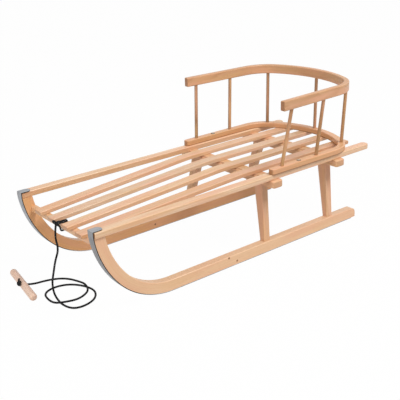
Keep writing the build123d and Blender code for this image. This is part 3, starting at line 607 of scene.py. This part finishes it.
def braid(name, points, radius, material, sides=32):
    """A round braid along the points, of this radius at the crowns of its strands.

    STRANDS strands of each hand pass over and under each other; two vertex attributes, strand
    and hollow, number the strand on top and say how deep it lies.
    """
    step = np.linalg.norm(np.diff(points, axis=0), axis=1)
    points = points[np.concatenate([[True], step > 1e-6])]
    step = np.linalg.norm(np.diff(points, axis=0), axis=1)
    run = np.concatenate([[0], np.cumsum(step)])
    tangent = np.gradient(points, axis=0)
    tangent /= np.linalg.norm(tangent, axis=1)[:, None]
    # a frame that turns with the line and doesn't twist
    side = np.cross(tangent[0], (0.31, 0.83, 0.46))
    sideways, upwards = [], []
    for t in tangent:
        side = side - t * (side @ t)
        side /= np.linalg.norm(side)
        sideways.append(side)
        upwards.append(np.cross(t, side))
    u, v = np.array(sideways)[:, None, :], np.array(upwards)[:, None, :]

    # each strand is round on top and sinks where it goes under one of the other hand
    turn = np.arange(sides) / sides
    lead = run[:, None] / PITCH
    first = (turn[None, :] - lead) * STRANDS
    second = (turn[None, :] + lead) * STRANDS
    a, b = first - np.floor(first) - 0.5, second - np.floor(second) - 0.5
    over = np.where((np.floor(first) + np.floor(second)) % 2 == 0, 1.0, -1.0)
    high_1 = np.sqrt(np.clip(1 - CROWN * a * a, 0, 1)) + WEAVE * over * np.cos(np.pi * b)
    high_2 = np.sqrt(np.clip(1 - CROWN * b * b, 0, 1)) - WEAVE * over * np.cos(np.pi * a)
    height = np.maximum(high_1, high_2)
    height = (height - height.min()) / (height.max() - height.min())
    strand = np.where(high_1 > high_2, np.floor(first) % STRANDS,
                      STRANDS + np.floor(second) % STRANDS)

    reach = (radius * (1 - RELIEF + RELIEF * height))[:, :, None]
    angle = (turn * 2 * np.pi)[None, :, None]
    verts = points[:, None, :] + reach * (np.cos(angle) * u + np.sin(angle) * v)
    count = len(points)
    index = np.arange(count * sides).reshape(count, sides)
    after = np.roll(index, -1, axis=1)
    quads = np.stack([index[:-1], after[:-1], after[1:], index[1:]], axis=-1).reshape(-1, 4)
    faces = quads.tolist() + [index[0][::-1].tolist(), index[-1].tolist()]
    mesh = bpy.data.meshes.new(name)
    mesh.from_pydata(verts.reshape(-1, 3).tolist(), [], faces)
    for attribute, values in (("strand", strand), ("hollow", 1 - height)):
        layer = mesh.attributes.new(attribute, "FLOAT", "POINT")
        layer.data.foreach_set("value", values.ravel().astype(np.float32))
    mesh.polygons.foreach_set("use_smooth", [True] * len(mesh.polygons))
    mesh.materials.append(material)
    piece = bpy.data.objects.new(name, mesh)
    bpy.context.scene.collection.objects.link(piece)
    return piece


def black_braid(name):
    """Braided polypropylene, dyed black: soft sheen, painted shade in the hollows, one greyer
    strand.
    """
    material, tree = bare_material(name)
    coords = add(tree, "ShaderNodeTexCoord")
    strand = add(tree, "ShaderNodeAttribute", attribute_name="strand").outputs["Fac"]
    hollow = add(tree, "ShaderNodeAttribute", attribute_name="hollow").outputs["Fac"]
    # fibres 0.15 mm thick, drawn 0.4 mm thick
    fibre = add(tree, NOISE, {"Vector": coords.outputs["Object"], "Scale": 2500.0,
                              "Detail": 2.0}).outputs["Fac"]
    grey = add(tree, MATH, {0: strand, 1: 5.0, 2: 0.4}, operation="COMPARE").outputs[0]
    grey = add(tree, MATH, {0: grey, 1: fibre}, operation="MULTIPLY").outputs[0]
    # the hollows between strands are darkened: painted shade
    colour = linear("#050506")
    for share, tone in ((fibre, "#0D0D0F"), (grey, "#8C8C90"), (hollow, "#050506")):
        colour = add(tree, MIX, {0: share, 6: colour, 7: linear(tone)},
                     data_type="RGBA").outputs[2]
    bump = add(tree, "ShaderNodeBump", {"Strength": 0.3, "Distance": 0.0002,
                                        "Height": fibre}).outputs["Normal"]
    shader = add(tree, "ShaderNodeBsdfPrincipled", {
        "Base Color": colour, "Roughness": 0.8, "IOR": 1.49, "Specular IOR Level": 0.2,
        "Normal": bump})
    add(tree, "ShaderNodeOutputMaterial", {"Surface": shader.outputs[0]})
    return material


cord_black = black_braid("black_braided_cord")
cord_line = nurbs_points("cord_route", ROUTE, 48)
tow_cord = braid("tow_cord_braid", cord_line, CORD_R, cord_black)
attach(tow_cord, "root")
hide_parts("tow_cord")


# Knot on the nose bar: the cord's end goes once round the bar between the middle slats, twice round
# the cord in front of it, and its short tail lies over the bar in the gap.
KNOT_R, KNOT_SIDES, KNOT_STEPS = 0.0023, 24, 16
TIE_ROUTE = [
    # up in front, over the bar, down behind it, forward below and up again
    (0.4510, -0.0135, 0.1705), (0.4512, -0.0125, 0.1760), (0.4490, -0.0105, 0.1805),
    (0.4410, -0.0085, 0.1802), (0.4300, -0.0075, 0.1804), (0.4225, -0.0070, 0.1795),
    (0.4222, -0.0065, 0.1640), (0.4235, -0.0062, 0.1572), (0.4310, -0.0058, 0.1572),
    (0.4405, -0.0052, 0.1572), (0.4432, -0.0046, 0.1592), (0.4450, -0.0034, 0.1670),
    # round the cord: an ear, a small eye, and the tail back over the bar
    (0.4490, 0.0000, 0.1735), (0.4530, -0.0060, 0.1765), (0.4560, -0.0115, 0.1790),
    (0.4572, -0.0155, 0.1840), (0.4545, -0.0120, 0.1842), (0.4520, -0.0060, 0.1800),
    (0.4545, 0.0000, 0.1765), (0.4565, 0.0045, 0.1790), (0.4540, 0.0050, 0.1840),
    (0.4490, 0.0010, 0.1850), (0.4465, -0.0050, 0.1830), (0.4485, -0.0075, 0.1785),
    (0.4535, -0.0030, 0.1770), (0.4530, 0.0030, 0.1800), (0.4480, 0.0055, 0.1835),
    (0.4420, 0.0065, 0.1826), (0.4325, 0.0092, 0.1826),
]
tie_line = nurbs_points("tie_route", TIE_ROUTE, KNOT_STEPS)
cord_tie = braid("cord_tie_knot", tie_line, KNOT_R, cord_black, KNOT_SIDES)
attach(cord_tie, "root")
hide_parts("cord_tie", "cord_knot")


# Stopper knot behind the handle: the cord's far end in a tight double overhand, wider than the
# hole, with a short tail along the dowel.
stop_side = Vector((-across_handle.y, across_handle.x, 0))
stop_up = hole_dir.cross(stop_side)
STOP_ROUTE = [
    # out along the hole, along the handle, up
    (0.0000, 0.0000, 0.0000), (0.0022, 0.0003, 0.0000), (0.0042, 0.0035, 0.0005),
    (0.0046, 0.0068, 0.0012), (0.0032, 0.0085, 0.0034), (0.0016, 0.0055, 0.0058),
    (0.0008, 0.0005, 0.0066), (0.0016, -0.0038, 0.0050), (0.0036, -0.0048, 0.0015),
    (0.0044, -0.0010, -0.0012), (0.0038, 0.0040, -0.0022), (0.0026, 0.0085, -0.0014),
    (0.0024, 0.0105, 0.0010), (0.0036, 0.0078, 0.0036), (0.0044, 0.0020, 0.0038),
    (0.0032, -0.0035, 0.0046), (0.0012, -0.0085, 0.0064), (0.0002, -0.0125, 0.0080),
]
stop_points = [tuple(cord_out + hole_dir * a + stop_side * b + stop_up * c)
               for a, b, c in STOP_ROUTE]
stop_line = nurbs_points("stop_route", stop_points, KNOT_STEPS)
stop_knot = braid("handle_stop_knot", stop_line, KNOT_R, cord_black, KNOT_SIDES)
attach(stop_knot, "root")
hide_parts("handle_knot")


# Handle: a beech dowel, 19 mm thick and 168 mm long, turned, rounded at both ends, cross-drilled
# and left bare, so it is paler and duller than the sled.
def along_handle(tree, coords):
    """Grain of the handle: along the dowel, across it and up."""
    place = add(tree, VECTOR, {0: coords.outputs["Object"], 1: HANDLE_AT},
                operation="SUBTRACT").outputs[0]
    along = add(tree, VECTOR, {0: place, 1: stop_side}, operation="DOT_PRODUCT").outputs["Value"]
    across = add(tree, VECTOR, {0: place, 1: across_handle},
                 operation="DOT_PRODUCT").outputs["Value"]
    depth = add(tree, SPLIT, {0: place}).outputs[2]
    facing = add(tree, VECTOR, {0: coords.outputs["Normal"], 1: stop_side},
                 operation="DOT_PRODUCT").outputs["Value"]
    facing = add(tree, MATH, {0: facing}, operation="ABSOLUTE").outputs[0]
    end = add(tree, RANGE, {"Value": facing, "From Min": 0.6, "From Max": 1.0,
                            "To Max": 0.1}).outputs["Result"]
    return along, across, depth, end


dress("tow_handle", beech("beech_dowel_handle", 31, along_handle, (0.014, 0.010),
                          "#E9CEBE", "#DFC1AD", figured=0.15))


# Studio: a white floor that runs out of view, a large soft lamp above the sled's near side, a
# weaker one from the front and even, slightly warm light all round.
FLOOR_HALF, FLOOR_Z = 12.0, -0.0002
# the camera and the steel see this share of the floor as plain white, the rest as shaded paper
WHITE_SHARE = 0.985
# light all round: its level and tint on the sled; the background itself stays plain white
AROUND_LEVEL, AROUND_TINT = 0.28, "#FFEEDA"
# lamp, place, size in metres, watts
LAMPS = [("key_lamp", (-0.7, 1.7, 2.9), 1.4, 94.0), ("front_lamp", (3.0, 0.7, 1.2), 1.6, 42.0)]
LAMPS_AIM = (0, 0, 0.2)


def white_floor(name):
    """Matt white paper: it shows white to the camera and in the steel, and keeps a faint shadow."""
    material, tree = bare_material(name)
    path = add(tree, "ShaderNodeLightPath").outputs
    seen = add(tree, MATH, {0: path["Is Camera Ray"], 1: path["Is Glossy Ray"]},
               operation="ADD").outputs[0]
    seen = add(tree, MATH, {0: seen, 1: path["Is Transmission Ray"]}, operation="ADD").outputs[0]
    seen = add(tree, MATH, {0: seen, 1: WHITE_SHARE}, operation="MULTIPLY").outputs[0]
    paper = add(tree, "ShaderNodeBsdfDiffuse", {"Color": linear("#D8D8D8")}).outputs[0]
    glow = add(tree, "ShaderNodeEmission", {"Color": (1, 1, 1, 1), "Strength": 1.0}).outputs[0]
    both = add(tree, "ShaderNodeMixShader", {0: seen, 1: paper, 2: glow}).outputs[0]
    add(tree, "ShaderNodeOutputMaterial", {"Surface": both})
    return material


floor_mesh = bpy.data.meshes.new("floor")
corners = [(-FLOOR_HALF, -FLOOR_HALF, FLOOR_Z), (FLOOR_HALF, -FLOOR_HALF, FLOOR_Z),
           (FLOOR_HALF, FLOOR_HALF, FLOOR_Z), (-FLOOR_HALF, FLOOR_HALF, FLOOR_Z)]
floor_mesh.from_pydata(corners, [], [(0, 1, 2, 3)])
floor_mesh.materials.append(white_floor("white_paper_floor"))
floor = bpy.data.objects.new("floor", floor_mesh)
bpy.context.scene.collection.objects.link(floor)

world = bpy.data.worlds.new("white_studio")
world.use_nodes = True
sky = world.node_tree
sky.nodes.clear()
rays = add(sky, "ShaderNodeLightPath").outputs
plain = add(sky, MATH, {0: rays["Is Camera Ray"], 1: rays["Is Glossy Ray"]},
            operation="ADD").outputs[0]
plain = add(sky, MATH, {0: plain, 1: rays["Is Transmission Ray"]}, operation="ADD",
            use_clamp=True).outputs[0]
level = add(sky, RANGE, {"Value": plain, "To Min": AROUND_LEVEL, "To Max": 1.0}).outputs["Result"]
tint = add(sky, MIX, {0: plain, 6: linear(AROUND_TINT), 7: (1, 1, 1, 1)},
           data_type="RGBA").outputs[2]
back = add(sky, "ShaderNodeBackground", {"Color": tint, "Strength": level}).outputs[0]
add(sky, "ShaderNodeOutputWorld", {"Surface": back})
bpy.context.scene.world = world

for name, place, size, watts in LAMPS:
    light = bpy.data.lights.new(name, "AREA")
    light.size = size
    light.energy = watts
    lamp = bpy.data.objects.new(name, light)
    lamp.location = place
    aim = Vector(LAMPS_AIM) - Vector(place)
    lamp.rotation_euler = aim.to_track_quat("-Z", "Y").to_euler()
    bpy.context.scene.collection.objects.link(lamp)


# Camera: the photograph's view, worked out from the sled's own edges. Its place is in metres, and
# its focal length is in pixels of an image that is 400 by 400.
CAMERA_AT = (1.25212, 1.54692, 0.89873)
CAMERA_AZ, CAMERA_EL = math.radians(51.4202), math.radians(21.4467)
CAMERA_ROLL = math.radians(-2.0318)
FOCAL_PIXELS, IMAGE_PIXELS, SENSOR = 780.94, 400, 36.0
behind = Vector((math.cos(CAMERA_AZ) * math.cos(CAMERA_EL),
                 math.sin(CAMERA_AZ) * math.cos(CAMERA_EL), math.sin(CAMERA_EL)))
right = (-behind).cross(Vector((0, 0, 1))).normalized()
up = right.cross(-behind)
tilted_right = right * math.cos(CAMERA_ROLL) + up * math.sin(CAMERA_ROLL)
tilted_up = up * math.cos(CAMERA_ROLL) - right * math.sin(CAMERA_ROLL)
view = bpy.data.cameras.new("photo_camera")
view.sensor_width = SENSOR
view.lens = FOCAL_PIXELS / IMAGE_PIXELS * SENSOR
view.clip_end = 60.0
camera = bpy.data.objects.new("photo_camera", view)
turned = Matrix((tilted_right, tilted_up, behind)).transposed().to_4x4()
camera.matrix_world = Matrix.Translation(CAMERA_AT) @ turned
bpy.context.scene.collection.objects.link(camera)
bpy.context.scene.camera = camera
bpy.context.scene.view_settings.view_transform = "Standard"
